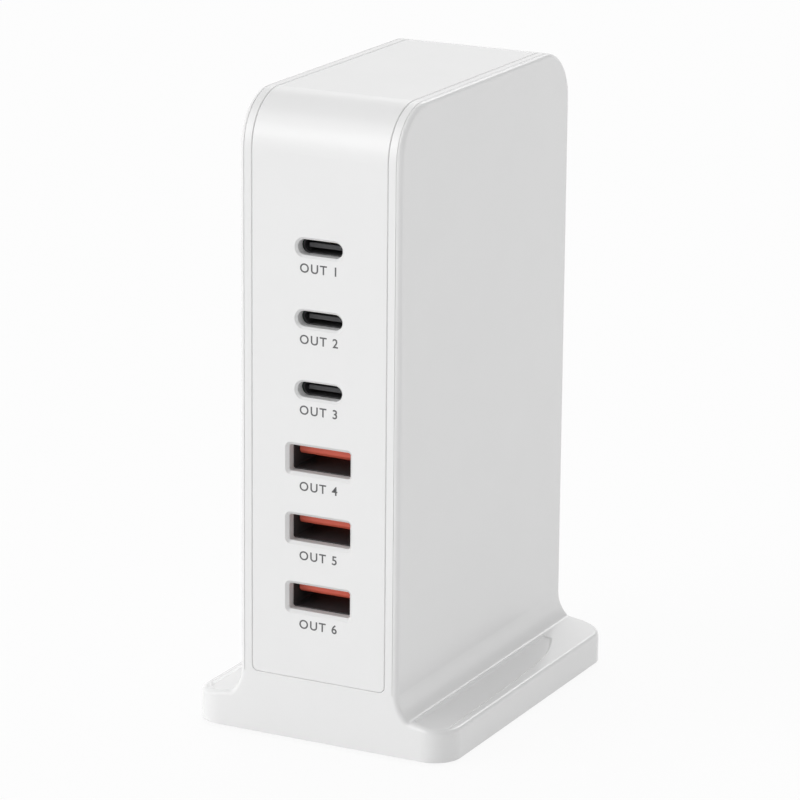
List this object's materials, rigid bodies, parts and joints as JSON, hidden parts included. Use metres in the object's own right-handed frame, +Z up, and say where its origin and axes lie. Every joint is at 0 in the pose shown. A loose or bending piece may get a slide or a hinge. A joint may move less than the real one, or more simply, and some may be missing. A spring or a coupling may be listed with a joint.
{
  "type": "multi port usb desktop charger",
  "caption": "Slim upright desktop charger: white case on a flared foot, a column of small and large charging sockets in front, mains inlet at the rear.",
  "frame": {"origin": "middle of the footprint, on the surface the rubber feet stand on", "axes": "+Z up, -Y out of the front panel with the sockets, +X to the right for someone facing that panel"},
  "size_m": [0.054, 0.071, 0.1221],
  "materials": {
    "case_white": "satin white moulding",
    "foot_rubber": "soft matte",
    "screw_steel": "plain zinc",
    "socket_metal": "black plated",
    "insert_black": "matte",
    "insert_orange": "matte",
    "contact_gold": "plated",
    "pin_metal": "bright plated",
    "inlet_black": "fine grain",
    "board_green": "solder mask",
    "chip_black": "moulded",
    "ferrite_grey": "sintered",
    "copper": "enamelled wire",
    "tape_yellow": "tape",
    "ceramic_blue": "dipped",
    "sleeve_dark": "shrink sleeve",
    "heat_aluminium": "plain",
    "pad_grey": "soft",
    "sheet_clear": "film"
  },
  "bodies": {
    "root": {"housing": "case_white", "wrap_cover": "case_white", "bottom_plate": "case_white", "rubber_foot_1": "foot_rubber", "rubber_foot_2": "foot_rubber", "rubber_foot_3": "foot_rubber", "rubber_foot_4": "foot_rubber", "bottom_screws": "screw_steel", "port_board_screws": "screw_steel", "main_board_screws": "screw_steel", "input_board_screws": "screw_steel", "usb_c_shell_1": "socket_metal", "usb_c_shell_2": "socket_metal", "usb_c_shell_3": "socket_metal", "usb_a_shell_1": "socket_metal", "usb_a_shell_2": "socket_metal", "usb_a_shell_3": "socket_metal", "usb_c_insert_1": "insert_black", "usb_c_insert_2": "insert_black", "usb_c_insert_3": "insert_black", "usb_a_insert_1": "insert_orange", "usb_a_insert_2": "insert_orange", "usb_a_insert_3": "insert_orange", "usb_c_contacts": "contact_gold", "usb_a_contacts": "contact_gold", "inlet_pins": "pin_metal", "inlet_body": "inlet_black", "board_link": "inlet_black", "port_board": "board_green", "main_board": "board_green", "input_board": "board_green", "bridge_rectifier": "chip_black", "primary_transistor": "chip_black", "secondary_transistor": "chip_black", "optocoupler": "chip_black", "controller": "chip_black", "fuse": "chip_black", "port_controller_1": "chip_black", "port_controller_2": "chip_black", "port_controller_3": "chip_black", "transformer_core": "ferrite_grey", "choke_core": "ferrite_grey", "port_inductor_1": "ferrite_grey", "port_inductor_2": "ferrite_grey", "port_inductor_3": "ferrite_grey", "choke_windings": "copper", "transformer_winding": "tape_yellow", "x_capacitor": "tape_yellow", "y_capacitor": "ceramic_blue", "bulk_capacitor_1": "sleeve_dark", "bulk_capacitor_2": "sleeve_dark", "output_capacitor_1": "sleeve_dark", "output_capacitor_2": "sleeve_dark", "output_capacitor_3": "sleeve_dark", "primary_heat_sink": "heat_aluminium", "secondary_heat_sink": "heat_aluminium", "heat_spreader": "heat_aluminium", "thermal_pad": "pad_grey", "insulation_sheet": "sheet_clear"}
  },
  "joints": []
}
